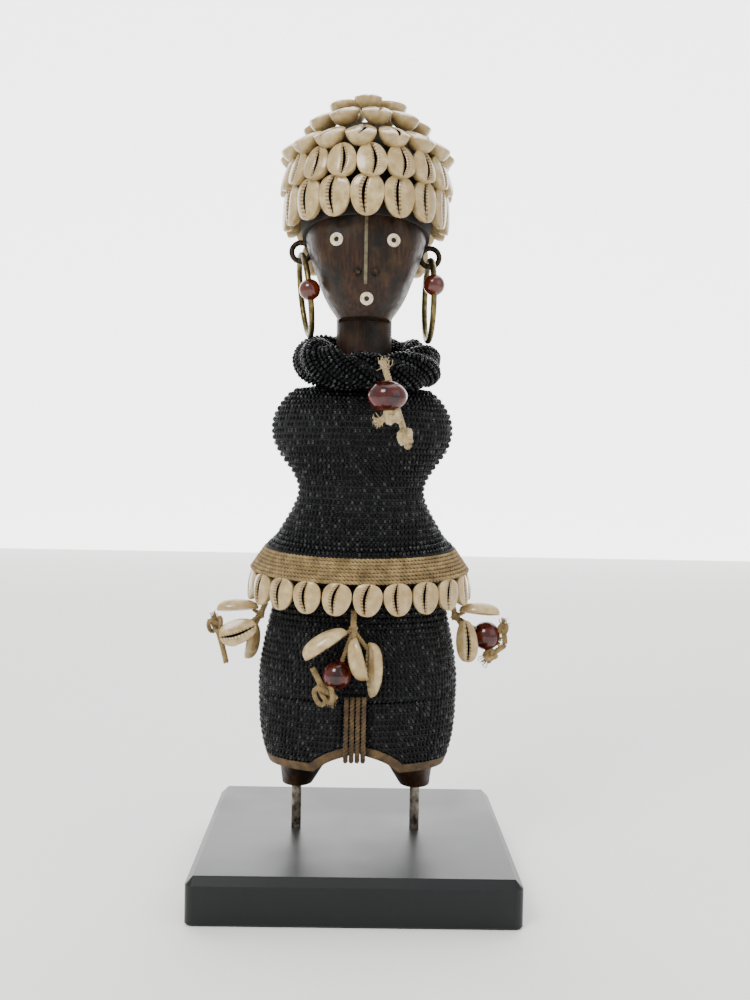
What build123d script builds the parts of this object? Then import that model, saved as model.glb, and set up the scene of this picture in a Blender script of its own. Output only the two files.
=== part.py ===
from build123d import *
import os
from math import cos, radians, sin

os.makedirs("parts", exist_ok=True)

# A beaded fertility doll on a display stand, in millimetres. +Z is up and the doll faces -Y.
# The origin is the centre of the base board's underside.
# Heights on the doll are measured from the underside of its feet; level() turns them into Z.

# ------------------------------------------------------------------ driving dimensions
# Stand
BASE_SIDE = 125.0
BASE_THICKNESS = 18.0
BASE_TOP_BEVEL = 3.0
BASE_CORNER_RADIUS = 3.4
BASE_FOOT_BEVEL = 0.8
PIN_DIAMETER = 4.0
PIN_SPACING = 49.4
PIN_EXPOSED = 19.5
PIN_IN_BOARD = 12.0
PIN_IN_FOOT = 18.0
PIN_CLEARANCE = 0.1
FOOT_Z = BASE_THICKNESS + PIN_EXPOSED

# Bead covering: one layer of seed beads over the carved wood
BEAD_LAYER = 2.35
LAYER_GAP = 0.1
SEAT_GAP = 0.05

# Carved body under its beads: (height, half width, half depth, forward lean in degrees)
TORSO_TOP = 165.5
TORSO_OUTLINE = [
    (TORSO_TOP, 20.0, 12.5, 0.0),
    (164.0, 26.0, 13.8, 0.0),
    (161.0, 31.0, 16.6, 0.0),
    (156.5, 34.8, 20.5, 0.0),
    (148.5, 37.6, 24.0, 0.0),
    (140.5, 36.3, 25.0, 0.0),
    (132.5, 31.2, 23.5, 0.0),
    (122.5, 26.4, 21.0, 0.0),
    (113.5, 28.9, 22.2, 1.5),
    (105.5, 33.5, 25.6, 3.5),
]
BELT_LEAN = 5.5
BELT_TOP = (98.5, 40.3, 30.8, BELT_LEAN)
BELT_BOTTOM = (90.0, 46.1, 35.6, BELT_LEAN)
FLARE_FOOT = (83.5, 34.6, 26.0, 0.0)
HIP_OUTLINE = [
    (83.5, 34.6, 26.0, 0.0),
    (74.5, 36.2, 27.2, 0.0),
    (62.5, 38.8, 28.4, 0.0),
    (50.5, 40.9, 28.8, 0.0),
    (38.5, 41.2, 28.4, 0.0),
]
LEG_OUTLINE = [
    (38.5, 41.2, 28.4),
    (22.5, 40.2, 27.6),
    (13.0, 37.8, 25.8),
    (7.0, 35.0, 23.4),
]
LEG_GAP = 0.4
LEG_CORNER = 7.0
HEM_LEVEL = 9.5
HEM_HEIGHT = 3.6
ARCH_TOP = 17.1
ARCH_RADIUS = 22.8

# Feet: ovals at the sole and where they run up inside the leg
FOOT_SOLE = (24.4, 6.3, 8.5)
FOOT_TOP = (20.7, 12.0, 18.0)
FOOT_TOP_HEIGHT = 15.0

# Neck and head: (height, half width, half depth, centre Y, squareness of the face)
NECK_RADIUS = 11.4
NECK_BOTTOM = 150.0
HEAD_OUTLINE = [
    (190.8, 10.6, 18.7, -6.8, 2.3),
    (194.5, 12.9, 22.5, -5.5, 2.6),
    (200.5, 16.5, 26.2, -4.1, 3.0),
    (209.5, 20.0, 29.4, -2.9, 3.3),
    (218.5, 23.1, 30.9, -2.0, 3.2),
    (226.5, 25.0, 31.0, -1.4, 2.5),
    (238.5, 25.6, 30.8, -1.0, 2.0),
    (249.5, 25.2, 29.9, -1.0, 2.0),
    (255.5, 23.4, 27.6, -1.0, 2.0),
    (260.8, 20.2, 24.0, -1.0, 2.0),
    (265.4, 15.8, 19.0, -1.0, 2.0),
    (269.6, 9.2, 11.2, -1.0, 2.0),
    (271.5, 4.0, 5.0, -1.0, 2.0),
]
BACK_SQUARENESS = 2.0
HEAD_OUTLINE_POINTS = 24

# Face fittings
RING_DIAMETER = 5.1
RING_HOLE = 2.1
RING_DEPTH = 1.2
RING_PROUD = 0.4
EYE_HEIGHT = 219.3
EYE_X = (-11.4, 10.6)
MOUTH_HEIGHT = 197.2
MOUTH_X = 0.6
NOSE_WIDTH = 1.3
NOSE_HEIGHTS = (202.5, 228.5)
NOSE_PROUD = 0.5
NOSE_DEPTH = 0.9
TACK_DIAMETER = 3.2
TACK_PROUD = 1.3
TACK_STANDOFF = 0.15
TACK_X = (-3.1, 3.8)
TACK_HEIGHT = 207.0

# Ears and earrings: (name, side, ear height, front turned outwards, foot leaning inwards, bead angle)
EARRINGS = [
    ("left", -1, 219.6, -8.2, 7.7, 0.0),
    ("right", 1, 218.4, 3.4, 0.0, 15.0),
]
EAR_X = 26.6
EAR_Y = -1.0
EAR_RADIUS = 3.8
EAR_WIRE = 1.1
HOOP_RADIUS = 16.4
HOOP_WIRE = 1.2
HOOP_CLEARANCE = 0.1
HOOP_BEAD_DIAMETER = 8.5

# Hair: a netted cap with rings of cowrie shells sewn on like tiles
CAP_THICKNESS = 1.2
CAP_FRONT_HEIGHT = 228.6
CAP_SLOPE = 12.5
HAIR_CENTRE_Y = -1.0
# (name, count, start as a share of a turn, height, half width, half depth, tilt up,
#  shell length, width, depth, wide end up)
HAIR_RINGS = [
    ("hair_shells_row_1", 17, 0.0, 235.3, 34.3, 39.2, 3.0, 15.0, 12.0, 6.9, True),
    ("hair_shells_row_2", 19, 0.007, 249.2, 34.4, 39.3, 17.0, 12.6, 10.9, 6.6, False),
    ("hair_shells_row_3", 16, -0.013, 261.4, 30.8, 35.3, 60.0, 12.0, 11.0, 6.7, False),
    ("hair_shells_row_4", 11, 0.024, 272.2, 21.1, 24.9, 67.0, 11.5, 10.8, 6.6, False),
    ("hair_shells_crown", 5, 0.0, 280.6, 10.6, 12.4, 79.0, 10.8, 10.4, 6.4, False),
]
NAPE_RING = (17, 0.5 / 17, 221.3, 34.0, 38.6, 0.0, 13.2, 11.8, 6.6, True)
NAPE_START_Y = 19.0

# Collar: a thick bundle of bead strands round the neck
COLLAR_HEIGHT = 174.8
COLLAR_CENTRE_X = 1.8
COLLAR_RADII = (22.0, 21.0)
COLLAR_SECTION = 8.0
COLLAR_FORWARD_LEAN = 15.2
COLLAR_SIDE_LEAN = 2.4

# Belt: turns of jute twine with a fringe of cowrie shells below
TWINE_TURNS = 7
TWINE_RADIUS = 0.7
FRINGE_COUNT = 21
FRINGE_HEIGHT = 83.6
FRINGE_RADII = (46.2, 36.4)
FRINGE_TILT = 9.0
FRINGE_SHELL = (11.2, 10.8, 6.5)
FRINGE_START = 0.012

# Cowrie form: how far towards the wide end it is broadest
BELLY_SHARE = 0.06
END_ROUNDNESS = 0.75

# Binding cords between the legs
CORD_RADIUS = 0.95
CORD_OFFSETS = (-4.4, -2.1, 0.2, 2.5)
CORD_TOP = 41.0
CORD_BOTTOM = 14.6
CORD_Y = 29.6
CORD_BEND = 6.0
CROTCH_KNOT = 2.9

# Pendants
THREAD_RADIUS = 1.0
NECK_BEAD_SIZE = (15.4, 12.4)
HANGING_BEAD_BORE = 1.2
FAR = 400.0


def level(height):
    """Z of a height measured from the underside of the feet."""
    return FOOT_Z + height


def leaning_plane(height, lean):
    """A level plane whose front is dropped by the lean, in degrees."""
    return Plane(
        origin=(0, 0, level(height)),
        x_dir=(1, 0, 0),
        z_dir=(0, -sin(radians(lean)), cos(radians(lean))),
    )


# ------------------------------------------------------------------ base board and pins
with BuildPart() as base_board:
    Box(BASE_SIDE, BASE_SIDE, BASE_THICKNESS, align=(Align.CENTER, Align.CENTER, Align.MIN))
    fillet(base_board.edges().filter_by(Axis.Z), BASE_CORNER_RADIUS)
    top_face = base_board.faces().sort_by(Axis.Z)[-1]
    chamfer(top_face.edges(), BASE_TOP_BEVEL)
    foot_face = base_board.faces().sort_by(Axis.Z)[0]
    chamfer(foot_face.edges(), BASE_FOOT_BEVEL)
    with Locations(Plane.XY.offset(BASE_THICKNESS)):
        with GridLocations(PIN_SPACING, 0, 2, 1):
            Hole(PIN_DIAMETER / 2 + SEAT_GAP, depth=PIN_IN_BOARD + SEAT_GAP)
base_board.part.label = "base_board"
export_step(base_board.part, "parts/base_board.step")

for side, name in ((-1, "left_pin"), (1, "right_pin")):
    pin_plane = Plane(origin=(side * PIN_SPACING / 2, 0, BASE_THICKNESS - PIN_IN_BOARD))
    with BuildPart(pin_plane) as pin:
        Cylinder(
            PIN_DIAMETER / 2,
            PIN_IN_BOARD + PIN_EXPOSED + PIN_IN_FOOT,
            align=(Align.CENTER, Align.CENTER, Align.MIN),
        )
        chamfer(pin.edges().group_by(Axis.Z)[-1], PIN_DIAMETER / 8)
    pin.part.label = name
    export_step(pin.part, f"parts/{name}.step")


# ------------------------------------------------------------------ body forms
def oval_form(outline, grow):
    """A smooth solid through ovals at rising heights, each grown outwards by one amount."""
    with BuildPart() as form:
        for height, half_width, half_depth, lean in outline:
            with BuildSketch(leaning_plane(height, lean)):
                Ellipse(half_width + grow, half_depth + grow)
        loft()
    return form.part


def leg_form(side, grow):
    """One leg: the hip oval cut at the middle, with rounded inner corners."""
    inner_x = LEG_GAP / 2 - grow
    with BuildPart() as form:
        for height, half_width, half_depth in LEG_OUTLINE:
            with BuildSketch(Plane.XY.offset(level(height))) as outline:
                Ellipse(half_width + grow, half_depth + grow)
                with Locations((side * (inner_x - FAR / 2), 0)):
                    Rectangle(FAR, FAR, mode=Mode.SUBTRACT)
                fillet(outline.vertices(), LEG_CORNER + grow)
        loft()
    return form.part


def below_hem(rise):
    """Everything under the hem line, which is level on the legs and arched between them."""
    with BuildPart(Plane.XY.offset(level(HEM_LEVEL + rise))) as region:
        Box(FAR, FAR, FAR, align=(Align.CENTER, Align.CENTER, Align.MAX))
        with Locations((0, 0, ARCH_TOP - ARCH_RADIUS - HEM_LEVEL - rise)):
            Cylinder(ARCH_RADIUS + rise, FAR, rotation=(90, 0, 0))
    return region.part


def head_form(grow):
    """The head: ovals with a squarer front, so that the face is broad and gently curved."""
    with BuildPart() as form:
        for height, half_width, half_depth, centre_y, squareness in HEAD_OUTLINE:
            points = []
            for step in range(HEAD_OUTLINE_POINTS):
                angle = radians(90 + step * 360 / HEAD_OUTLINE_POINTS)
                power = 2 / (squareness if sin(angle) < 0 else BACK_SQUARENESS)
                across = abs(cos(angle)) ** power * (1 if cos(angle) > 0 else -1)
                along = abs(sin(angle)) ** power * (1 if sin(angle) > 0 else -1)
                points.append(((half_width + grow) * across, centre_y + (half_depth + grow) * along))
            with BuildSketch(Plane.XY.offset(level(height))):
                with BuildLine():
                    Spline(*points, periodic=True)
                make_face()
        loft()
    return form.part


# The body's core and bead layers follow one outline, inset by different amounts
CORE_INSET = -(BEAD_LAYER + LAYER_GAP)
TRUNK_OUTLINE = TORSO_OUTLINE + [BELT_TOP, BELT_BOTTOM]

with BuildPart() as trunk_core:
    add(oval_form(TRUNK_OUTLINE, CORE_INSET))
    split(bisect_by=Plane.XY.offset(level(TORSO_TOP - BEAD_LAYER - LAYER_GAP)), keep=Keep.BOTTOM)
    split(bisect_by=leaning_plane(BELT_TOP[0], BELT_LEAN), keep=Keep.TOP)
    for upper, lower in ((BELT_TOP, BELT_BOTTOM), (BELT_BOTTOM, FLARE_FOOT)):
        for height, half_width, half_depth, lean in (upper, lower):
            with BuildSketch(leaning_plane(height, lean)):
                Ellipse(half_width + CORE_INSET, half_depth + CORE_INSET)
        loft(ruled=True)
    add(oval_form(HIP_OUTLINE, CORE_INSET))

# ------------------------------------------------------------------ legs, feet and hems
leg_cores = []
for side, name in ((-1, "left"), (1, "right")):
    with BuildPart() as leg_core:
        add(leg_form(side, CORE_INSET))
        add(below_hem(0), mode=Mode.SUBTRACT)
        for height, (centre, half_width, half_depth) in ((0, FOOT_SOLE), (FOOT_TOP_HEIGHT, FOOT_TOP)):
            with BuildSketch(Plane.XY.offset(level(height))):
                with Locations((side * centre, 0)):
                    Ellipse(half_width, half_depth)
        loft()
    leg_cores.append(leg_core.part)

    leg_sleeve = leg_form(side, 0) - leg_form(side, -BEAD_LAYER)
    with BuildPart() as leg_bead_wrap:
        add(leg_sleeve)
        add(below_hem(HEM_HEIGHT), mode=Mode.SUBTRACT)
    leg_bead_wrap.part.label = f"{name}_leg_bead_wrap"
    export_step(leg_bead_wrap.part, f"parts/{name}_leg_bead_wrap.step")

    with BuildPart() as leg_hem:
        add(leg_sleeve)
        add(below_hem(HEM_HEIGHT - LAYER_GAP), mode=Mode.INTERSECT)
        add(below_hem(0), mode=Mode.SUBTRACT)
    leg_hem.part.label = f"{name}_leg_hem"
    export_step(leg_hem.part, f"parts/{name}_leg_hem.step")

# ------------------------------------------------------------------ collar
def ring_cord(plane, radii, section):
    """A closed ring of round section along an oval."""
    with BuildPart() as cord:
        with BuildLine(plane) as route:
            EllipticalCenterArc((0, 0), *radii, start_angle=0, arc_size=360)
        with BuildSketch(Plane(origin=route.line @ 0, z_dir=route.line % 0)):
            Circle(section)
        sweep()
    return cord.part


collar_plane = Plane(
    origin=(COLLAR_CENTRE_X, 0, level(COLLAR_HEIGHT)),
    x_dir=(cos(radians(COLLAR_SIDE_LEAN)), 0, -sin(radians(COLLAR_SIDE_LEAN))),
    z_dir=Vector(sin(radians(COLLAR_SIDE_LEAN)), 0, cos(radians(COLLAR_SIDE_LEAN))),
).rotated((COLLAR_FORWARD_LEAN, 0, 0))
with BuildPart() as bead_collar:
    add(ring_cord(collar_plane, COLLAR_RADII, COLLAR_SECTION))
bead_collar.part.label = "bead_collar"
export_step(bead_collar.part, "parts/bead_collar.step")

# ------------------------------------------------------------------ hip and torso bead wraps
with BuildPart() as hip_bead_wrap:
    add(oval_form(HIP_OUTLINE, 0))
    add(oval_form(HIP_OUTLINE, -BEAD_LAYER), mode=Mode.SUBTRACT)
    split(bisect_by=Plane.XY.offset(level(LEG_OUTLINE[0][0] + LAYER_GAP)), keep=Keep.TOP)
hip_bead_wrap.part.label = "hip_bead_wrap"
export_step(hip_bead_wrap.part, "parts/hip_bead_wrap.step")

with BuildPart() as inner_trunk:
    add(oval_form(TRUNK_OUTLINE, -BEAD_LAYER))
    split(bisect_by=Plane.XY.offset(level(TORSO_TOP - BEAD_LAYER)), keep=Keep.BOTTOM)

with BuildPart() as torso_bead_wrap:
    add(oval_form(TRUNK_OUTLINE, 0))
    add(inner_trunk.part, mode=Mode.SUBTRACT)
    split(bisect_by=leaning_plane(BELT_TOP[0] + LAYER_GAP, BELT_LEAN), keep=Keep.TOP)
    with Locations((0, 0, level(TORSO_TOP))):
        Cylinder(NECK_RADIUS + LAYER_GAP, 2 * BEAD_LAYER + 1, mode=Mode.SUBTRACT)
    add(ring_cord(collar_plane, COLLAR_RADII, COLLAR_SECTION + LAYER_GAP), mode=Mode.SUBTRACT)
torso_bead_wrap.part.label = "torso_bead_wrap"
export_step(torso_bead_wrap.part, "parts/torso_bead_wrap.step")


# ------------------------------------------------------------------ face fittings
head_core = head_form(0)


def face_seat(x, height):
    """The plane on the face at a place seen from the front, facing outwards."""
    sight = Axis((x, -FAR, level(height)), (0, 1, 0))
    point, normal = head_core.find_intersection_points(sight)[0]
    outward = normal if normal.Y < 0 else -normal
    return Plane(origin=point, x_dir=Vector(0, 0, 1).cross(outward), z_dir=outward)


def inlay_ring(seat, gap):
    """A ring let into the face, or its seat when given a gap."""
    with BuildPart(seat.offset(-RING_DEPTH - gap)) as ring:
        Cylinder(
            RING_DIAMETER / 2 + gap,
            RING_DEPTH + RING_PROUD,
            align=(Align.CENTER, Align.CENTER, Align.MIN),
        )
        Cylinder(RING_HOLE / 2 - gap, FAR / 4, mode=Mode.SUBTRACT)
    return ring


def nose_slot(depth):
    """The band of the face along the nose, from a depth below the face to well in front of it."""
    bottom, top = NOSE_HEIGHTS
    with BuildPart() as slot:
        with Locations((0, 0, level(bottom))):
            Box(NOSE_WIDTH, FAR / 4, top - bottom, align=(Align.CENTER, Align.MAX, Align.MIN))
        add(head_form(-depth), mode=Mode.SUBTRACT)
    return slot.part


ring_seats = {
    "left_eye_ring": face_seat(EYE_X[0], EYE_HEIGHT),
    "right_eye_ring": face_seat(EYE_X[1], EYE_HEIGHT),
    "mouth_ring": face_seat(MOUTH_X, MOUTH_HEIGHT),
}
for name, seat in ring_seats.items():
    inlay = inlay_ring(seat, 0)
    inlay.part.label = name
    export_step(inlay.part, f"parts/{name}.step")

with BuildPart() as nose_strip:
    add(nose_slot(NOSE_DEPTH))
    add(head_form(NOSE_PROUD), mode=Mode.INTERSECT)
nose_strip.part.label = "nose_strip"
export_step(nose_strip.part, "parts/nose_strip.step")

tack_seats = {
    "left_nostril_tack": face_seat(TACK_X[0], TACK_HEIGHT).offset(TACK_STANDOFF),
    "right_nostril_tack": face_seat(TACK_X[1], TACK_HEIGHT).offset(TACK_STANDOFF),
}
for name, seat in tack_seats.items():
    with BuildPart(seat) as nostril:
        with BuildSketch(seat.rotated((90, 0, 0))):
            with BuildLine():
                Line((0, 0), (TACK_DIAMETER / 2, 0))
                EllipticalCenterArc((0, 0), TACK_DIAMETER / 2, TACK_PROUD, start_angle=0, arc_size=90)
                Line((0, TACK_PROUD), (0, 0))
            make_face()
        revolve(axis=Axis(seat.origin, seat.z_dir))
    nostril.part.label = name
    export_step(nostril.part, f"parts/{name}.step")


# ------------------------------------------------------------------ ear loops and earrings
def ear_loop(side, height, gap):
    """A closed wire loop let into the side of the head, seen as a ring from the front."""
    with BuildPart(Plane(origin=(side * EAR_X, EAR_Y, level(height)), z_dir=(0, 1, 0))) as loop:
        Torus(EAR_RADIUS, EAR_WIRE + gap)
    return loop


for name, side, ear_height, turned, leaning, bead_angle in EARRINGS:
    loop = ear_loop(side, ear_height, 0)
    loop.part.label = f"{name}_ear_loop"
    export_step(loop.part, f"parts/{name}_ear_loop.step")

    turn, lean = radians(turned), radians(leaning)
    frontward = Vector(side * sin(turn), -cos(turn), 0)
    sideways = Vector(side * cos(turn), sin(turn), 0)
    upward = Vector(0, 0, 1) * cos(lean) + sideways * sin(lean)
    hoop_top = ear_height - EAR_RADIUS + EAR_WIRE + HOOP_WIRE + HOOP_CLEARANCE
    hoop_plane = Plane(
        origin=Vector(side * EAR_X, EAR_Y, level(hoop_top)) - upward * HOOP_RADIUS,
        x_dir=frontward,
        z_dir=frontward.cross(upward),
    )
    with BuildPart(hoop_plane) as hoop:
        Torus(HOOP_RADIUS, HOOP_WIRE)
    hoop.part.label = f"{name}_earring_hoop"
    export_step(hoop.part, f"parts/{name}_earring_hoop.step")

    with BuildPart(hoop_plane) as hoop_bead:
        with PolarLocations(HOOP_RADIUS, 1, start_angle=bead_angle):
            Sphere(HOOP_BEAD_DIAMETER / 2)
        Torus(HOOP_RADIUS, HOOP_WIRE + HOOP_CLEARANCE, mode=Mode.SUBTRACT)
    hoop_bead.part.label = f"{name}_earring_bead"
    export_step(hoop_bead.part, f"parts/{name}_earring_bead.step")

# ------------------------------------------------------------------ carved figure
with BuildPart() as carved_figure:
    add(head_core)
    with Locations((0, 0, level(NECK_BOTTOM))):
        Cylinder(
            NECK_RADIUS,
            HEAD_OUTLINE[1][0] - NECK_BOTTOM,
            align=(Align.CENTER, Align.CENTER, Align.MIN),
        )
    add(trunk_core.part)
    for leg_core in leg_cores:
        add(leg_core)
    for seat in ring_seats.values():
        add(inlay_ring(seat, SEAT_GAP).part, mode=Mode.SUBTRACT)
    add(nose_slot(NOSE_DEPTH + SEAT_GAP), mode=Mode.SUBTRACT)
    for name, side, ear_height, *hang in EARRINGS:
        add(ear_loop(side, ear_height, SEAT_GAP).part, mode=Mode.SUBTRACT)
    with Locations(Plane(origin=(0, 0, level(0)), z_dir=(0, 0, -1))):
        with GridLocations(PIN_SPACING, 0, 2, 1):
            Hole(PIN_DIAMETER / 2 + PIN_CLEARANCE, depth=PIN_IN_FOOT + PIN_CLEARANCE)
carved_figure.part.label = "carved_figure"
export_step(carved_figure.part, "parts/carved_figure.step")


# ------------------------------------------------------------------ cowrie shells
def cowrie(length, width, depth):
    """A cowrie: an egg-shaped dome. Its flat mouth side lies on XY facing +Z, wide end at +Y."""
    axis_z = width / 2 - depth
    with BuildPart() as shell:
        with BuildSketch(Plane.XY.offset(axis_z)) as half_outline:
            with BuildLine():
                flank = Spline(
                    (0, -length / 2),
                    (width / 2, BELLY_SHARE * length),
                    (0, length / 2),
                    tangents=((1, 0), (-1, 0)),
                    tangent_scalars=(END_ROUNDNESS, END_ROUNDNESS),
                )
                Line(flank @ 1, flank @ 0)
            make_face()
        long_axis = Axis((0, 0, axis_z), (0, 1, 0))
        revolve(axis=long_axis, revolution_arc=180, clean=False)
        revolve(half_outline.sketch, axis=long_axis, revolution_arc=-180, clean=False)
        split(bisect_by=Plane.XY, keep=Keep.BOTTOM)
    return shell.part


def shell_plane(origin, outward, up, wide_end_up):
    """Where a shell lies: its mouth faces outward and its wide end points up or down."""
    lengthwise = up if wide_end_up else -up
    return Plane(origin=origin, x_dir=lengthwise.cross(outward), z_dir=outward)


def oval_ring(plane, radii, count, start, tilt, wide_end_up):
    """Evenly spaced shell planes round an oval; the tilt raises each mouth from level, in degrees."""
    route = Edge.make_ellipse(*radii, plane=plane)
    front = min((0, 1 / 4, 1 / 2, 3 / 4), key=lambda quarter: (route @ quarter).Y)
    places = []
    for index in range(count):
        share = (front + start + index / count) % 1
        outward_level = (route % share).cross(plane.z_dir)
        if outward_level.dot(route @ share - plane.origin) < 0:
            outward_level = -outward_level
        rise = radians(tilt)
        outward = outward_level * cos(rise) + plane.z_dir * sin(rise)
        up = plane.z_dir * cos(rise) - outward_level * sin(rise)
        places.append(shell_plane(route @ share, outward, up, wide_end_up))
    return places


for name, count, start, height, *radii, tilt, length, width, depth, wide_up in HAIR_RINGS:
    ring_plane = Plane(origin=(0, HAIR_CENTRE_Y, level(height)))
    hair_shell = cowrie(length, width, depth)
    with BuildPart() as hair_ring:
        for place in oval_ring(ring_plane, radii, count, start, tilt, wide_up):
            with Locations(place):
                add(hair_shell, clean=False)
    hair_ring.part.label = name
    export_step(hair_ring.part, f"parts/{name}.step")

count, start, height, *radii, tilt, length, width, depth, wide_up = NAPE_RING
nape_plane = Plane(origin=(0, HAIR_CENTRE_Y, level(height)))
nape_places = oval_ring(nape_plane, radii, count, start, tilt, wide_up)
nape_shell = cowrie(length, width, depth)
with BuildPart() as hair_shells_nape:
    for place in nape_places:
        if place.origin.Y > NAPE_START_Y:
            with Locations(place):
                add(nape_shell, clean=False)
hair_shells_nape.part.label = "hair_shells_nape"
export_step(hair_shells_nape.part, "parts/hair_shells_nape.step")

with BuildPart() as hair_cap:
    add(head_form(CAP_THICKNESS))
    add(head_form(LAYER_GAP), mode=Mode.SUBTRACT)
    hairline = Plane(
        origin=(0, -HEAD_OUTLINE[5][2], level(CAP_FRONT_HEIGHT)),
        z_dir=(0, sin(radians(CAP_SLOPE)), cos(radians(CAP_SLOPE))),
    )
    split(bisect_by=hairline, keep=Keep.TOP)
    for name, side, ear_height, *hang in EARRINGS:
        add(ear_loop(side, ear_height, LAYER_GAP).part, mode=Mode.SUBTRACT)
hair_cap.part.label = "hair_cap"
export_step(hair_cap.part, "parts/hair_cap.step")


# ------------------------------------------------------------------ belt
top_height, top_width, top_depth, lean = BELT_TOP
low_height, low_width, low_depth, lean = BELT_BOTTOM
outset = CORE_INSET + TWINE_RADIUS * 4 / 3 + SEAT_GAP
with BuildPart() as belt_twine:
    for turn in range(TWINE_TURNS):
        share = (turn + 0.5) / (TWINE_TURNS - 0.5)
        height = top_height + (low_height - top_height) * share
        width = top_width + (low_width - top_width) * share + outset
        depth = top_depth + (low_depth - top_depth) * share + outset
        add(ring_cord(leaning_plane(height, lean), (width, depth), TWINE_RADIUS), clean=False)
belt_twine.part.label = "belt_twine"
export_step(belt_twine.part, "parts/belt_twine.step")

fringe_plane = leaning_plane(FRINGE_HEIGHT, BELT_LEAN)
fringe_shell = cowrie(*FRINGE_SHELL)
with BuildPart() as belt_shells:
    for place in oval_ring(fringe_plane, FRINGE_RADII, FRINGE_COUNT, FRINGE_START, FRINGE_TILT, True):
        with Locations(place):
            add(fringe_shell, clean=False)
belt_shells.part.label = "belt_shells"
export_step(belt_shells.part, "parts/belt_shells.step")

# ------------------------------------------------------------------ binding cords
with BuildPart() as crotch_cords:
    for offset in CORD_OFFSETS:
        with BuildLine() as route:
            FilletPolyline(
                (offset, -CORD_Y, level(CORD_TOP)),
                (offset, -CORD_Y, level(CORD_BOTTOM)),
                (offset, CORD_Y, level(CORD_BOTTOM)),
                (offset, CORD_Y, level(CORD_TOP)),
                radius=CORD_BEND,
            )
        with BuildSketch(Plane(origin=route.line @ 0, z_dir=route.line % 0)):
            Circle(CORD_RADIUS)
        sweep(path=route.line)
crotch_cords.part.label = "crotch_cords"
export_step(crotch_cords.part, "parts/crotch_cords.step")


# ------------------------------------------------------------------ pendants
def twine_run(points, radius):
    """A short thick twine through its points, with round bends and ends."""
    with BuildPart() as run:
        for start, end in zip(points, points[1:]):
            reach = Vector(*end) - Vector(*start)
            with BuildSketch(Plane(origin=start, z_dir=reach)):
                Circle(radius)
            extrude(amount=reach.length)
        with Locations(*points):
            Sphere(radius)
    return run.part


def hung_shell(wide_tip, narrow_tip, facing, size):
    """A pendant shell between its two tips, its mouth turned towards a direction."""
    wide, narrow = Vector(*wide_tip), Vector(*narrow_tip)
    lengthwise = (wide - narrow).normalized()
    facing = Vector(*facing)
    outward = (facing - lengthwise * facing.dot(lengthwise)).normalized()
    width, depth = size
    centre = (wide + narrow) * 0.5 + outward * (depth - width / 2)
    place = shell_plane(centre, outward, lengthwise, True)
    return place.location * cowrie((wide - narrow).length, width, depth)


def up(x, y, height):
    """A place on the doll given with its height from the feet."""
    return (x, y, level(height))


PENDANTS = {
    "front_pendant": {
        "shells": [
            (up(-20.6, -36.2, 57.0), up(-4.6, -36.2, 67.6), (0.5, 0, -0.9), (10.6, 6.6)),
            (up(3.0, -42.6, 50.6), up(-1.4, -40.6, 66.2), (1, 0.15, 0.2), (9.8, 6.2)),
            (up(5.2, -34.4, 42.4), up(4.4, -34.2, 63.4), (-1, -0.35, 0), (9.6, 6.0)),
        ],
        "bead": (up(-8.2, -35.6, 51.0), 5.7),
        "twine": [
            ([up(-2.1, -30.7, 74.4), up(-2.2, -33.6, 69.4)], 1.5),
            ([up(-16.4, -35.4, 53.4), up(-14.2, -35.4, 44.6)], 0.6),
            ([up(-13.2, -35.6, 42.6), up(-10.2, -35.6, 41.2)], 3.2),
        ],
    },
    "left_hip_pendant": {
        "shells": [
            (up(-58.4, -5.4, 71.0), up(-41.4, -5.4, 72.0), (0, -0.1, -1), (10.0, 5.2)),
            (up(-56.2, -13.2, 61.6), up(-41.6, -12.4, 66.4), (0, -1, 0.25), (10.0, 6.2)),
            (up(-47.0, -1.0, 51.4), up(-44.0, -1.6, 66.6), (-1, 0, 0.3), (9.4, 5.6)),
        ],
        "bead": (up(-52.4, -1.4, 61.0), 5.0),
        "twine": [
            ([up(-38.6, -5.0, 74.6), up(-40.4, -5.2, 70.6)], 1.0),
            ([up(-59.4, -6.8, 69.4), up(-59.6, -5.0, 60.4), up(-54.6, -4.6, 51.6)], 1.7),
        ],
    },
    "right_hip_pendant": {
        "shells": [
            (up(58.0, -5.4, 71.0), up(41.4, -5.4, 72.2), (0, -0.1, -1), (10.0, 5.2)),
            (up(44.8, -9.2, 52.4), up(43.6, -9.6, 69.4), (-0.5, -1, 0), (9.2, 5.4)),
        ],
        "bead": (up(53.2, -1.6, 62.4), 6.0),
        "twine": [
            ([up(38.6, -5.0, 74.6), up(39.8, -5.2, 71.2)], 1.0),
            ([up(59.6, -4.0, 68.2), up(60.6, -4.2, 61.4)], 1.6),
            ([up(59.6, -3.6, 57.4), up(52.6, -3.4, 52.8)], 1.9),
        ],
    },
}
for name, pieces in PENDANTS.items():
    with BuildPart() as pendant_shells:
        for shell in pieces["shells"]:
            add(hung_shell(*shell))
    pendant_shells.part.label = f"{name}_shells"
    export_step(pendant_shells.part, f"parts/{name}_shells.step")

    bead_centre, bead_radius = pieces["bead"]
    with BuildPart(Plane(origin=bead_centre, z_dir=(1, 0, 0))) as pendant_bead:
        Sphere(bead_radius)
        Cylinder(HANGING_BEAD_BORE, 4 * bead_radius, mode=Mode.SUBTRACT)
    pendant_bead.part.label = f"{name}_bead"
    export_step(pendant_bead.part, f"parts/{name}_bead.step")

    with BuildPart() as pendant_twine:
        for points, radius in pieces["twine"]:
            add(twine_run(points, radius))
    pendant_twine.part.label = f"{name}_twine"
    export_step(pendant_twine.part, f"parts/{name}_twine.step")

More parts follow.
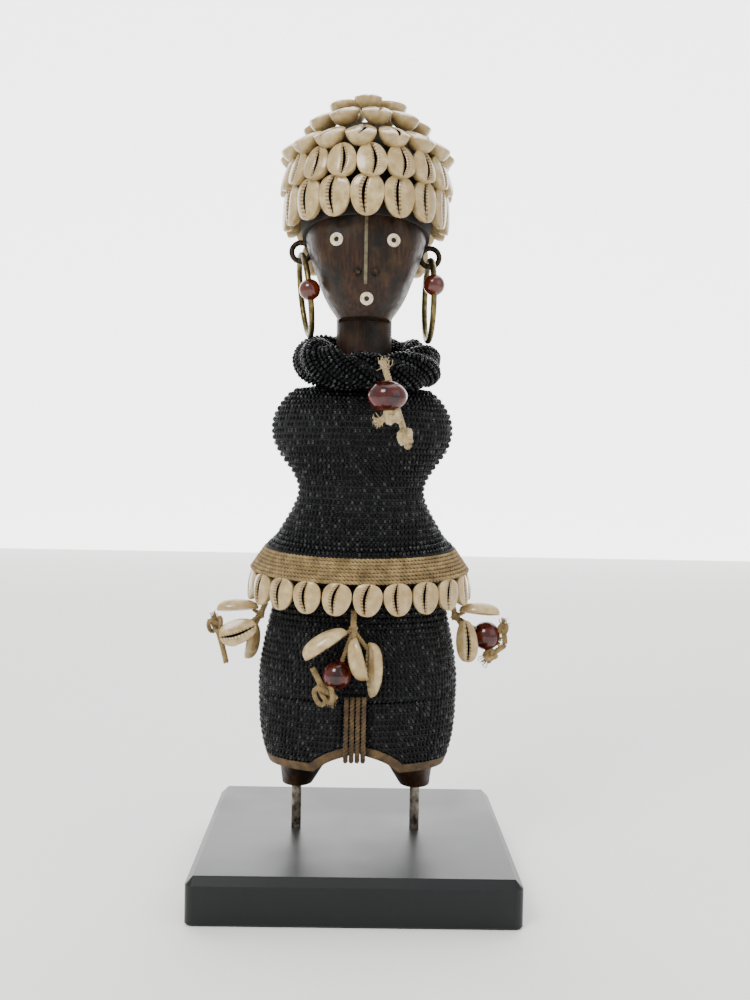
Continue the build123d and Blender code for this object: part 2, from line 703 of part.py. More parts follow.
# The neck pendant's twine comes out of the collar, runs down through the bead and is knotted
NECK_BEAD_CENTRE = up(9.2, -38.2, 158.8)
NECK_TWINE = [
    ([up(7.4, -30.8, 171.4), up(8.2, -34.4, 168.6)], 2.2),
    ([up(8.6, -36.4, 167.6), up(9.2, -38.2, 165.8), up(9.2, -38.2, 152.6)], THREAD_RADIUS),
    ([up(10.2, -37.0, 148.6), up(12.4, -36.8, 148.4)], 3.4),
    ([up(8.0, -36.6, 150.0), up(5.0, -36.4, 149.8)], 2.4),
    ([up(14.0, -36.4, 146.2), up(17.0, -36.2, 143.8)], 2.6),
]
with BuildPart() as neck_pendant_bead:
    with Locations(NECK_BEAD_CENTRE):
        Sphere(NECK_BEAD_SIZE[0] / 2)
        scale(by=(1, 1, NECK_BEAD_SIZE[1] / NECK_BEAD_SIZE[0]), about=NECK_BEAD_CENTRE)
        Cylinder(THREAD_RADIUS + HOOP_CLEARANCE, 2 * NECK_BEAD_SIZE[0], mode=Mode.SUBTRACT)
neck_pendant_bead.part.label = "neck_pendant_bead"
export_step(neck_pendant_bead.part, "parts/neck_pendant_bead.step")

with BuildPart() as neck_pendant_twine:
    for points, radius in NECK_TWINE:
        add(twine_run(points, radius))
neck_pendant_twine.part.label = "neck_pendant_twine"
export_step(neck_pendant_twine.part, "parts/neck_pendant_twine.step")
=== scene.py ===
# %% [markdown]
# # A beaded fertility doll with cowrie shell hair
#
# The CAD model gives the frame: every body, every size and every place. This script dresses it.
# Real seed beads, plied twine and toothed cowrie shells replace the plain CAD solids, while the
# carved wood, the metal and the board keep their CAD shape and get a procedural finish.

# %% Load the frame
import math
import random

import bmesh
import bpy
import numpy as np
from mathutils import Matrix, Vector
from mathutils.bvhtree import BVHTree


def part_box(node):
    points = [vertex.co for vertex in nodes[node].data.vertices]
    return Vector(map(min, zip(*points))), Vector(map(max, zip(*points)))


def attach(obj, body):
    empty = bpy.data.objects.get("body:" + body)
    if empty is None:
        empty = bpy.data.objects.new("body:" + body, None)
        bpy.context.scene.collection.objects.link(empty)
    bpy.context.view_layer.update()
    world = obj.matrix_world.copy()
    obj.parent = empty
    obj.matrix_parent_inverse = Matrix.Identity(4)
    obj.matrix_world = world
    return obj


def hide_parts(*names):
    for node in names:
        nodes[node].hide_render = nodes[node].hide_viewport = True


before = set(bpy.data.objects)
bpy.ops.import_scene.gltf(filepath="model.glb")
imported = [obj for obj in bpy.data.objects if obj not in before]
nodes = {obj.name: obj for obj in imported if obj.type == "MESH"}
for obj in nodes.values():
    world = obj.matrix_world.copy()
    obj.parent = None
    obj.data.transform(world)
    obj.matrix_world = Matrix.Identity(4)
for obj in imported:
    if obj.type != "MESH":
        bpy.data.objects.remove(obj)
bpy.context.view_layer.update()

MM = 0.001
random.seed(7)
noise = np.random.default_rng(7)

# %% [markdown]
# ## Camera
# It stands about half a metre in front of the doll, a little to its right, at waist height.

# %% Camera
LENS_MM = 41.86
CAMERA_PLACE = Vector((-0.00224, -0.4835, 0.1704))
CAMERA_YAW = math.radians(0.956)
CAMERA_PITCH = math.radians(-1.77)
CAMERA_ROLL = math.radians(1.087)

forward = Vector(
    (
        math.sin(CAMERA_YAW) * math.cos(CAMERA_PITCH),
        math.cos(CAMERA_YAW) * math.cos(CAMERA_PITCH),
        math.sin(CAMERA_PITCH),
    )
)
level_right = Vector((math.cos(CAMERA_YAW), -math.sin(CAMERA_YAW), 0))
level_up = level_right.cross(forward)
right = level_right * math.cos(CAMERA_ROLL) + level_up * math.sin(CAMERA_ROLL)
up = level_up * math.cos(CAMERA_ROLL) - level_right * math.sin(CAMERA_ROLL)
camera = bpy.data.objects.new("camera", bpy.data.cameras.new("camera"))
camera.data.lens = LENS_MM
camera.matrix_world = Matrix.Translation(CAMERA_PLACE) @ Matrix((right, up, -forward)).transposed().to_4x4()
bpy.context.scene.collection.objects.link(camera)
bpy.context.scene.camera = camera
print("camera", tuple(round(v, 4) for v in camera.location), "lens", LENS_MM)

# %% [markdown]
# ## Materials
# Colours are sRGB hex. Pattern scales are worked out from real millimetres: a texture scale of
# 1 / (2 mm) in Object coordinates repeats every two millimetres.


# %% Material helpers
def linear(hex_colour):
    """Linear RGB of an sRGB hex colour."""
    values = [int(hex_colour[i : i + 2], 16) / 255 for i in (1, 3, 5)]
    return [v / 12.92 if v <= 0.04045 else ((v + 0.055) / 1.055) ** 2.4 for v in values]


def per_mm(size):
    """Texture scale that gives features of this size in millimetres."""
    return 1 / (size * MM)


class Finish:
    """A material with one Principled shader and short ways of adding nodes to it."""

    def __init__(self, name, colour, roughness, **sockets):
        self.material = bpy.data.materials.new(name)
        self.material.use_nodes = True
        self.tree = self.material.node_tree
        self.shader = self.tree.nodes["Principled BSDF"]
        self.shader.inputs["Base Color"].default_value = (*linear(colour), 1)
        self.shader.inputs["Roughness"].default_value = roughness
        for socket, value in sockets.items():
            self.shader.inputs[socket.replace("_", " ")].default_value = value

    def node(self, kind, inputs=None, **settings):
        """Adds a node. An input is given a value or another node's output."""
        made = self.tree.nodes.new(kind)
        for key, value in settings.items():
            setattr(made, key, value)
        for key, value in (inputs or {}).items():
            if isinstance(value, bpy.types.NodeSocket):
                self.tree.links.new(value, made.inputs[key])
            else:
                made.inputs[key].default_value = value
        return made

    def place(self):
        return self.node("ShaderNodeTexCoord").outputs["Object"]

    def noise(self, size, detail=3.0, stretch=(1, 1, 1), roughness=0.5):
        """Noise with features of a size in mm, stretched along an axis."""
        mapping = self.node("ShaderNodeMapping", {"Vector": self.place(), "Scale": stretch})
        made = self.node(
            "ShaderNodeTexNoise",
            {"Vector": mapping.outputs[0], "Scale": per_mm(size), "Detail": detail, "Roughness": roughness},
        )
        return made.outputs["Fac"]

    def math(self, operation, a, b=0.0, c=0.0):
        return self.node("ShaderNodeMath", {0: a, 1: b, 2: c}, operation=operation).outputs[0]

    def step(self, value, low, high, to_low=0.0, to_high=1.0):
        """Smooth change from to_low to to_high as a value goes from low to high."""
        inputs = {"Value": value, "From Min": low, "From Max": high, "To Min": to_low, "To Max": to_high}
        return self.node("ShaderNodeMapRange", inputs, interpolation_type="SMOOTHSTEP").outputs[0]

    def ramp(self, value, *stops):
        """Colours at places from 0 to 1."""
        made = self.node("ShaderNodeValToRGB", {"Fac": value})
        points = made.color_ramp.elements
        while len(points) < len(stops):
            points.new(0.5)
        for point, (position, colour) in zip(points, stops):
            point.position = position
            point.color = (*linear(colour), 1)
        return made.outputs["Color"]

    def mix(self, factor, a, b, blend="MIX"):
        made = self.node("ShaderNodeMix", data_type="RGBA", blend_type=blend)
        for socket, value in ((made.inputs[0], factor), (made.inputs[6], a), (made.inputs[7], b)):
            if isinstance(value, bpy.types.NodeSocket):
                self.tree.links.new(value, socket)
            else:
                socket.default_value = (*linear(value), 1) if isinstance(value, str) else value
        return made.outputs[2]

    def use(self, socket, value):
        self.tree.links.new(value, self.shader.inputs[socket])

    def bump(self, height, depth_mm, strength=1.0):
        inputs = {"Height": height, "Distance": depth_mm * MM, "Strength": strength}
        self.use("Normal", self.node("ShaderNodeBump", inputs).outputs[0])


def wave_of(finish, coordinate, repeats):
    """A sine from 0 to 1 along a coordinate."""
    angle = finish.math("MULTIPLY", coordinate, repeats * 2 * math.pi)
    return finish.math("MULTIPLY_ADD", finish.math("SINE", angle), 0.5, 0.5)


# %% Wood, board and metal
wood = Finish("oiled_carved_wood", "#22140b", 0.5, Specular_IOR_Level=0.22)
wood.shader.inputs["Coat Weight"].default_value = 0.06
wood.shader.inputs["Coat Roughness"].default_value = 0.25
grain = wood.noise(1.1, 5.0, (1, 1, 0.09), 0.6)
patina = wood.noise(11.0, 4.0, (1, 1, 0.6))
colour = wood.ramp(grain, (0.3, "#120904"), (0.55, "#2b180b"), (0.75, "#452913"))
colour = wood.mix(wood.step(patina, 0.42, 0.66), colour, "#0f0b08")
colour = wood.mix(wood.step(wood.noise(6.0, 6.0), 0.5, 0.74, 0.0, 0.4), colour, "#49371d")
wood.use("Base Color", colour)
wood.use("Roughness", wood.step(wood.noise(3.0), 0.3, 0.7, 0.4, 0.6))
wood.bump(wood.math("ADD", grain, wood.math("MULTIPLY", patina, 2.0)), 0.12, 0.6)

board = Finish("satin_black_paint", "#060a0a", 0.4, Specular_IOR_Level=0.3)
board.shader.inputs["Coat Weight"].default_value = 0.05
board.shader.inputs["Coat Roughness"].default_value = 0.3
board.use("Base Color", board.mix(board.noise(60.0), "#060b0b", "#091010"))
board.use("Roughness", board.step(board.noise(40.0, 2.0), 0.35, 0.65, 0.36, 0.42))
board.bump(board.noise(0.9, 2.0), 0.03, 0.5)

steel = Finish("dull_steel_pin", "#8a8276", 0.38, Metallic=1.0)
steel.use("Base Color", steel.ramp(steel.noise(3.0, 4.0), (0.35, "#3b352f"), (0.65, "#9a9284")))

brass = Finish("aged_brass_wire", "#6f6034", 0.4, Metallic=0.9)
tarnish = brass.noise(2.2, 5.0)
brass.use("Base Color", brass.ramp(tarnish, (0.3, "#4a4126"), (0.5, "#635733"), (0.72, "#7f7348")))
brass.use("Roughness", brass.step(tarnish, 0.35, 0.65, 0.5, 0.3))
brass.bump(brass.noise(1.6), 0.04, 0.5)

iron = Finish("blackened_iron_wire", "#1c1814", 0.5, Metallic=0.7)
iron.use("Base Color", iron.ramp(iron.noise(1.5, 4.0), (0.4, "#0f0c0a"), (0.7, "#4a3a26")))
iron.bump(iron.noise(0.5), 0.06, 0.6)

ivory = Finish("ivory_inlay", "#d8cdb0", 0.3, Subsurface_Weight=0.15, Subsurface_Scale=0.001)
ivory.use("Base Color", ivory.ramp(ivory.noise(1.5, 3.0), (0.35, "#b6a582"), (0.6, "#ded3b8")))

strip = Finish("dull_nose_strip", "#5d5541", 0.5, Metallic=0.4)
strip.use("Base Color", strip.ramp(strip.noise(2.6, 3.0), (0.3, "#463f2e"), (0.65, "#756b52")))

# %% Glass beads
seed = Finish("black_glass_seed_beads", "#050608", 0.2, Specular_IOR_Level=0.2)
tone = seed.node("ShaderNodeAttribute", attribute_name="tone").outputs["Fac"]
seed.use("Base Color", seed.ramp(tone, (0.0, "#010102"), (0.7, "#030406"), (1.0, "#0a0c10")))
seed.use("Roughness", seed.step(tone, 0.3, 1.0, 0.28, 0.08))
seed.use("Specular IOR Level", seed.step(tone, 0.6, 1.0, 0.14, 0.45))

thread = Finish("black_backing_thread", "#050505", 0.9, Sheen_Weight=0.1)
thread.bump(thread.noise(0.5), 0.2, 0.5)

orange = Finish("orange_red_glass_bead", "#3f1206", 0.12, Coat_Weight=0.4, Coat_Roughness=0.05)
orange.use("Base Color", orange.ramp(orange.noise(9.0, 1.0), (0.35, "#2c0b05"), (0.65, "#581c09")))

maroon = Finish("dark_red_glazed_bead", "#2a0806", 0.14, Specular_IOR_Level=0.4)
maroon.shader.inputs["Coat Weight"].default_value = 0.25
maroon.shader.inputs["Coat Roughness"].default_value = 0.06
maroon.use("Base Color", maroon.ramp(maroon.noise(5.0, 4.0), (0.35, "#1a0403"), (0.62, "#4a0f09")))

# %% Twine, cords and netting


def fibre(name, dark, mid, light, sheen=0.3):
    """Plied plant fibre: fine streaks with darker and lighter hairs."""
    made = Finish(name, mid, 0.85, Sheen_Weight=sheen, Sheen_Roughness=0.5)
    streaks = made.noise(0.35, 4.0, roughness=0.7)
    broad = made.noise(4.0, 2.0)
    blend = made.math("MULTIPLY_ADD", broad, 0.5, made.math("MULTIPLY", streaks, 0.55))
    made.use("Base Color", made.ramp(blend, (0.36, dark), (0.52, mid), (0.68, light)))
    made.bump(streaks, 0.12, 0.8)
    return made


jute = fibre("jute_twine", "#53401f", "#80693f", "#a98f60", 0.12)
pale_jute = fibre("pale_jute_knot", "#7c6440", "#a99368", "#d2c09a", 0.2)
brown_cord = fibre("brown_hem_cord", "#241709", "#4a371d", "#715833", 0.08)
# Brown fibre netting coloured almost black: its own dark brown plus painted shade, so its edge passes for
# the shadow under the lowest row of shells.
netting_with_shade = fibre("dark_hair_netting", "#080504", "#120c08", "#241a10", 0.02)

# %% Cowrie shell
TEETH = 12
shell = Finish("cowrie_shell", "#d9c9a8", 0.2, Coat_Roughness=0.12, Subsurface_Weight=0.12)
shell.shader.inputs["Subsurface Scale"].default_value = 0.0015
split = shell.node("ShaderNodeSeparateXYZ", {0: shell.node("ShaderNodeUVMap", uv_map="shell").outputs[0]})
across, along = split.outputs[0], split.outputs[1]
mouth = shell.node("ShaderNodeAttribute", attribute_name="mouth").outputs["Fac"]
shade = shell.node("ShaderNodeAttribute", attribute_name="tone").outputs["Fac"]
from_slit = shell.math("ABSOLUTE", shell.math("SUBTRACT", across, 0.5))
from_middle = shell.math("ABSOLUTE", shell.math("SUBTRACT", along, 0.5))
within = shell.math("MULTIPLY", mouth, shell.step(from_middle, 0.40, 0.47, 1.0, 0.0))
slit_width = shell.step(from_middle, 0.1, 0.45, 0.045, 0.024)
slit = shell.math("MULTIPLY", within, shell.math("LESS_THAN", from_slit, slit_width))
left_lip = shell.math("LESS_THAN", across, 0.5)
reach = shell.math("MULTIPLY_ADD", left_lip, 0.08, 0.09)
tooth_zone = shell.math("MULTIPLY", within, shell.math("LESS_THAN", from_slit, reach))
teeth = wave_of(shell, along, TEETH)
shaded_tooth_gaps = shell.math("MULTIPLY", tooth_zone, shell.step(teeth, 0.3, 0.55, 1.0, 0.0))
mottle = shell.noise(3.5, 2.0)
body_colour = shell.ramp(mottle, (0.3, "#9a8053"), (0.5, "#b29a6b"), (0.7, "#c6b082"))
body_colour = shell.mix(shell.step(shade, 0.0, 1.0, 0.0, 0.5), body_colour, "#a1875a")
# Painted shade: the gaps between the teeth are darkened brown.
body_colour = shell.mix(shell.math("MULTIPLY", shaded_tooth_gaps, 0.7), body_colour, "#4b3320")
# Painted shade: the mouth slit is coloured near black for the dark hollow inside the shell.
shell.use("Base Color", shell.mix(slit, body_colour, "#060403"))
gloss = shell.step(mottle, 0.3, 0.7, 0.16, 0.3)
shell.use("Roughness", shell.math("MAXIMUM", gloss, slit))
shell.use("Coat Weight", shell.math("MULTIPLY_ADD", slit, -0.3, 0.3))
shell.use("Specular IOR Level", shell.math("MULTIPLY_ADD", slit, -0.5, 0.5))
shell.bump(shell.math("SUBTRACT", 1.0, shell.math("MAXIMUM", slit, shaded_tooth_gaps)), 0.35, 0.9)
print("materials", len(bpy.data.materials))

# %% [markdown]
# ## Reading the CAD solids
# A CAD mesh arrives as loose triangles. A merged copy shows its separate solids and its surface.


# %% Geometry helpers
def merged(node):
    """A bmesh of a CAD node in the row frame, its doubled corners merged."""
    thing = nodes[node]
    bm = bmesh.new()
    bm.from_mesh(thing.data)
    bm.transform(thing.matrix_world)
    bmesh.ops.remove_doubles(bm, verts=bm.verts, dist=0.00001)
    bmesh.ops.recalc_face_normals(bm, faces=bm.faces)
    return bm


def solids(node):
    """Each separate solid of a CAD node: its corner array and its faces as (normal, area, middle)."""
    bm = merged(node)
    found, seen = [], set()
    for first in bm.verts:
        if first in seen:
            continue
        group, waiting = [], [first]
        seen.add(first)
        while waiting:
            vert = waiting.pop()
            group.append(vert)
            for edge in vert.link_edges:
                other = edge.other_vert(vert)
                if other not in seen:
                    seen.add(other)
                    waiting.append(other)
        faces = {face for vert in group for face in vert.link_faces}
        sides = [(face.normal.copy(), face.calc_area(), face.calc_center_median()) for face in faces]
        found.append((np.array([v.co[:] for v in group]), sides))
    bm.free()
    return found


def surface(node):
    """A tree for casting rays at a CAD node."""
    bm = merged(node)
    tree = BVHTree.FromBMesh(bm)
    bm.free()
    return tree


def finish_object(name, mesh, finish, body, replaced=()):
    """Links a mesh as an object with its material, and makes it ride a body."""
    thing = bpy.data.objects.new(name, mesh)
    bpy.context.scene.collection.objects.link(thing)
    mesh.materials.append(finish.material)
    mesh.shade_smooth()
    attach(thing, body)
    if replaced:
        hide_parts(*replaced)
    return thing


def copies(name, template, placements, finish, body, replaced=()):
    """One object holding a copy of a template bmesh at each 4x4 placement, each with its own tone."""
    corners = np.array([v.co[:] for v in template.verts])
    template.verts.index_update()
    faces = [[v.index for v in face.verts] for face in template.faces]
    turned = np.array([np.array(m) for m in placements])
    moved = np.einsum("mij,nj->mni", turned[:, :3, :3], corners) + turned[:, None, :3, 3]
    mesh = bpy.data.meshes.new(name)
    size = len(corners)
    starts = range(0, size * len(placements), size)
    polygons = [[corner + start for corner in face] for start in starts for face in faces]
    mesh.from_pydata(moved.reshape(-1, 3).tolist(), [], polygons)
    tones = noise.random(len(placements))
    layer = mesh.attributes.new("tone", "FLOAT", "POINT")
    layer.data.foreach_set("value", np.repeat(tones, size).astype(np.float32))
    for key in template.verts.layers.float.keys():
        source = template.verts.layers.float[key]
        values = np.array([v[source] for v in template.verts], dtype=np.float32)
        layer = mesh.attributes.new(key, "FLOAT", "POINT")
        layer.data.foreach_set("value", np.tile(values, len(placements)))
    uv_source = template.loops.layers.uv.active
    if uv_source:
        loops = [loop for face in template.faces for loop in face.loops]
        flat = np.array([loop[uv_source].uv[:] for loop in loops], dtype=np.float32)
        uv = mesh.uv_layers.new(name=uv_source.name)
        uv.data.foreach_set("uv", np.tile(flat, (len(placements), 1)).ravel())
    print(name, len(placements), "copies", len(placements) * len(faces), "faces")
    return finish_object(name, mesh, finish, body, replaced)


def resample(points, step, closed=True):
    """Points at even steps along a polyline, with the step adjusted to fit."""
    points = np.asarray(points, dtype=float)
    if closed:
        points = np.vstack([points, points[:1]])
    lengths = np.concatenate([[0], np.cumsum(np.linalg.norm(np.diff(points, axis=0), axis=1))])
    count = max(3, round(lengths[-1] / step))
    places = np.linspace(0, lengths[-1], count + 1)
    if closed:
        places = places[:-1]
    return np.stack([np.interp(places, lengths, points[:, axis]) for axis in range(3)], axis=1)


def tangents(points, closed=True):
    """The direction of travel at each point of a route."""
    if closed:
        ahead, behind = np.roll(points, -1, 0), np.roll(points, 1, 0)
    else:
        ahead = np.vstack([points[1:], points[-1:]])
        behind = np.vstack([points[:1], points[:-1]])
    along = ahead - behind
    return along / np.linalg.norm(along, axis=1)[:, None]


def side_vectors(points, closed=True):
    """Two directions across a route at each point, carried along it without twisting."""
    along = tangents(points, closed)
    side = Vector(along[0]).orthogonal().normalized()
    sides = []
    for direction in along:
        direction = Vector(direction)
        side = (side - direction * side.dot(direction)).normalized()
        sides.append(side[:])
    sides = np.array(sides)
    if closed:
        last, first = Vector(sides[-1]), Vector(sides[0])
        turn = math.atan2(Vector(along[0]).dot(last.cross(first)), last.dot(first))
        share = np.linspace(0, 1, len(points))[:, None] * turn
        sides = sides * np.cos(share) + np.cross(along, sides) * np.sin(share)
    return sides, np.cross(along, sides)


def tubes(name, routes, finish, body, replaced=(), sides=3):
    """Round tubes along routes, each (points, radius or radii, closed), as one mesh object."""
    data = bpy.data.curves.new(name, "CURVE")
    data.dimensions = "3D"
    data.bevel_depth = 1.0
    data.bevel_resolution = sides - 2
    data.use_fill_caps = True
    for points, radius, closed in routes:
        spline = data.splines.new("POLY")
        spline.points.add(len(points) - 1)
        spline.points.foreach_set("co", np.column_stack([points, np.ones(len(points))]).ravel())
        spline.points.foreach_set("radius", np.broadcast_to(np.asarray(radius, float), len(points)).copy())
        spline.use_cyclic_u = closed
    maker = bpy.data.objects.new(name, data)
    mesh = bpy.data.meshes.new_from_object(maker)
    mesh.name = name
    bpy.data.objects.remove(maker)
    bpy.data.curves.remove(data)
    print(name, len(routes), "runs", len(mesh.polygons), "faces")
    return finish_object(name, mesh, finish, body, replaced)


def plies(route, closed, ply_radius, count, lay, step=0.35 * MM, wander=0.0):
    """The separate strands of a twine laid round a route. lay is the length of one full turn."""
    points = resample(route, step, closed)
    side, other = side_vectors(points, closed)
    spacing = np.linalg.norm(np.diff(points, axis=0), axis=1).mean()
    length = spacing * (len(points) if closed else len(points) - 1)
    turns = max(1, round(length / lay)) if closed else length / lay
    position = np.arange(len(points)) * spacing / length
    offset = ply_radius / math.sin(math.pi / count) if count > 1 else 0.0
    strands = []
    for ply in range(count):
        angle = 2 * np.pi * (ply / count + turns * position)
        sway = 1 + wander * np.sin(angle * 0.37 + ply * 2.1)
        across = side * np.cos(angle)[:, None] + other * np.sin(angle)[:, None]
        strands.append((points + across * (offset * sway)[:, None], ply_radius * 1.06, closed))
    return strands


def pose(origin, x_axis, y_axis, z_axis, size=(1, 1, 1)):
    """A 4x4 placement from its axes and its scale along each."""
    columns = [Vector(a) * s for a, s in zip((x_axis, y_axis, z_axis), size)]
    turned = Matrix(columns).transposed().to_4x4()
    return Matrix.Translation(Vector(origin)) @ turned


# %% [markdown]
# ## Bead wraps
# Strings of seed beads lie side by side round the torso, the hips and each leg. Each string is
# found by casting rays from inside the hollow CAD layer, and its beads are threaded along it.
# All round things here have a radius in metres, made from millimetres.

# %% Seed bead
BEAD_RADIUS = 1.2 * MM
BEAD_LENGTH = 1.72 * MM
BEAD_STEP = 1.8 * MM
BEAD_BLUNTNESS = 0.8
SHORTEST_RUN = 4
bead = bmesh.new()
bmesh.ops.create_uvsphere(bead, u_segments=8, v_segments=6, radius=1.0)
for vert in bead.verts:
    vert.co.z = math.copysign(abs(vert.co.z) ** BEAD_BLUNTNESS * 0.92, vert.co.z)


def bead_places(points, closed=True, radius=BEAD_RADIUS, length=BEAD_LENGTH, loose=0.05):
    """A bead at each point of a string, its hole along the string, none quite alike."""
    along = tangents(points, closed)
    made = []
    for point, direction in zip(points, along):
        direction = Vector(direction)
        tip = Vector(noise.normal(0, 0.1, 3))
        direction = (direction + tip).normalized()
        side = direction.orthogonal().normalized()
        shift = Vector(noise.normal(0, loose, 3)) * MM
        girth = radius * (1 + noise.normal(0, 0.035))
        size = (girth, girth, length / 2 * (1 + noise.normal(0, 0.08)))
        made.append(pose(Vector(point) + shift, side, direction.cross(side), direction, size))
    return made


def string_round(tree, centre, lean, reach=80 * MM, rays=240):
    """Points of one string round a hollow layer, in a plane whose front drops by the lean."""
    found = []
    for index in range(rays):
        angle = 2 * math.pi * index / rays
        back = math.sin(angle)
        outward = Vector((math.cos(angle), back * math.cos(lean), back * math.sin(lean)))
        hit = tree.ray_cast(centre, outward, reach)[0]
        found.append(tuple(hit + outward * BEAD_RADIUS) if hit else None)
    return found


def runs_of(points):
    """Splits a ring of points at its gaps. A run over the join of first and last stays whole."""
    runs, run = [], []
    for point in points:
        if point is None:
            if run:
                runs.append(run)
            run = []
        else:
            run.append(point)
    if run:
        runs.append(run)
    whole = len(runs) == 1 and len(runs[0]) == len(points)
    if not whole and len(runs) > 1 and points[0] is not None and points[-1] is not None:
        runs[0] = runs.pop() + runs[0]
    return runs, whole


def wrap(node, axis_x, low, high, pitch, lean_low=0.0, lean_fades=1.0):
    """Strings of beads over one hollow layer, evenly spaced down its slope.

    The lowest string leans forwards by lean_low degrees, and the lean fades out further up.
    """
    tree = surface(node)
    heights = np.arange(low, high, 0.2 * MM)
    outer_side = Vector((math.copysign(1, axis_x or 1), 0, 0))
    profile = []
    for height in heights:
        inside = Vector((axis_x, 0, height))
        hit = tree.ray_cast(inside, Vector((0, 1, 0)), 80 * MM)[0]
        wide = tree.ray_cast(inside, outer_side, 80 * MM)[0]
        last = profile[-1] if profile else 20 * MM
        profile.append((abs(hit.y) + abs(wide.x)) / 2 if hit and wide else last)
    slope = np.concatenate([[0], np.cumsum(np.hypot(np.diff(heights), np.diff(profile)))])
    margin = 0.25 * pitch
    count = round((slope[-1] - 2 * margin) / pitch) + 1
    placements = []
    for place in np.linspace(margin, slope[-1] - margin, count):
        height = np.interp(place, slope, heights)
        share = max(0.0, 1 - (height - low) / (lean_fades * (high - low)))
        lean = math.radians(lean_low) * share
        runs, whole = runs_of(string_round(tree, Vector((axis_x, 0, height)), lean))
        for run in runs:
            if len(run) > SHORTEST_RUN:
                placements += bead_places(resample(run, BEAD_STEP, whole), whole)
    return placements


def backing(node, inset=0.8 * MM):
    """The dark thread under the beads: the CAD layer drawn in a little."""
    bm = merged(node)
    for vert in bm.verts:
        vert.co -= vert.normal * inset
    mesh = bpy.data.meshes.new(node + "_thread")
    bm.to_mesh(mesh)
    bm.free()
    finish_object(node + "_thread", mesh, thread, "figure")


# %% Torso, hips and legs
TORSO_PITCH = 2.45 * MM
HIP_PITCH = 2.36 * MM
HEM_OVERLAP = 0.4 * MM
low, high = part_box("torso_bead_wrap")
hip_low, hip_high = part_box("hip_bead_wrap")
BELT_LEAN = 5.5
LEAN_FADES = 0.55
BELT_RISE = 3.42 * MM
SHOULDER_TURN = 2.6 * MM
torso_span = (low[2] + BELT_RISE, high[2] - SHOULDER_TURN)
placements = wrap("torso_bead_wrap", 0.0, *torso_span, TORSO_PITCH, BELT_LEAN, LEAN_FADES)
half = len(placements) // 2
copies("torso_beads_lower", bead, placements[:half], seed, "figure", ["torso_bead_wrap"])
copies("torso_beads_upper", bead, placements[half:], seed, "figure", ["torso_bead_wrap"])
placements = wrap("hip_bead_wrap", 0.0, hip_low[2], hip_high[2], HIP_PITCH)
copies("hip_beads", bead, placements, seed, "figure", ["hip_bead_wrap"])
for side in ("left", "right"):
    node = side + "_leg_bead_wrap"
    low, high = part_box(node)
    middle = (low[0] + high[0]) / 2
    placements = wrap(node, middle, low[2] + HEM_OVERLAP, high[2], HIP_PITCH)
    copies(side + "_leg_beads", bead, placements, seed, "figure", [node])
for node in ("torso_bead_wrap", "hip_bead_wrap", "left_leg_bead_wrap", "right_leg_bead_wrap"):
    backing(node)

# %% [markdown]
# ## Collar
# Strings of beads are gathered into three bundles that are twisted into one thick ring.


# %% Collar strands
def ring_of(corners):
    """Middle, in-plane directions, half axes and section radius of a flat oval ring."""
    values, axes = np.linalg.eigh(np.cov((corners - corners.mean(axis=0)).T))
    normal = axes[:, 0] * (1 if axes[2, 0] > 0 else -1)
    wide = np.array([1.0, 0, 0]) - normal * normal[0]
    wide /= np.linalg.norm(wide)
    deep = np.cross(normal, wide)
    middle = corners.mean(axis=0)
    spread = corners - middle
    thick = np.ptp(spread @ normal) / 2
    half_wide, half_deep = np.ptp(spread @ wide) / 2, np.ptp(spread @ deep) / 2
    for direction in (wide, deep, normal):
        reach = spread @ direction
        middle = middle + direction * (reach.max() + reach.min()) / 2
    return middle, wide, deep, half_wide - thick, half_deep - thick, thick


def oval(middle, wide, deep, half_wide, half_deep, count=720):
    """Points round an oval."""
    angles = np.linspace(0, 2 * np.pi, count, endpoint=False)[:, None]
    return middle + wide * half_wide * np.cos(angles) + deep * half_deep * np.sin(angles)


STRANDS = 18
BUNDLES = 3
BUNDLE_SWELL = 1.0 * MM
SLACK_SWELL = 0.7 * MM
TWIST_TURNS = 3
COLLAR_BEAD_RADIUS = 1.12 * MM
COLLAR_LOOSENESS = 0.05
CORE_INSET = 2.2 * MM
middle, wide, deep, half_wide, half_deep, thick = ring_of(solids("bead_collar")[0][0])
route = resample(oval(middle, wide, deep, half_wide, half_deep), 0.5 * MM)
side, other = side_vectors(route)
share = np.arange(len(route)) / len(route)
placements = []
for strand in range(STRANDS):
    lift = thick - BEAD_RADIUS + BUNDLE_SWELL * np.cos(2 * np.pi * BUNDLES * (strand + 0.5) / STRANDS)
    lift = lift + SLACK_SWELL * np.sin(2 * np.pi * (2 * share + 0.2))
    angle = 2 * np.pi * (strand / STRANDS + TWIST_TURNS * share)
    across = side * np.cos(angle)[:, None] + other * np.sin(angle)[:, None]
    string = resample(route + across * lift[:, None], BEAD_STEP)
    placements += bead_places(string, True, COLLAR_BEAD_RADIUS, BEAD_LENGTH, COLLAR_LOOSENESS)
copies("collar_beads", bead, placements, seed, "figure", ["bead_collar"])
core = (oval(middle, wide, deep, half_wide, half_deep, 96), thick - CORE_INSET, True)
tubes("collar_core", [core], thread, "figure", sides=6)


# %% [markdown]
# ## Cowrie shells
# One shell is shaped from a sphere: an egg-shaped dome, a flat mouth side and a grooved slit.

# %% Cowrie template
SHELL_COLUMNS = 32
SHELL_RINGS = 22


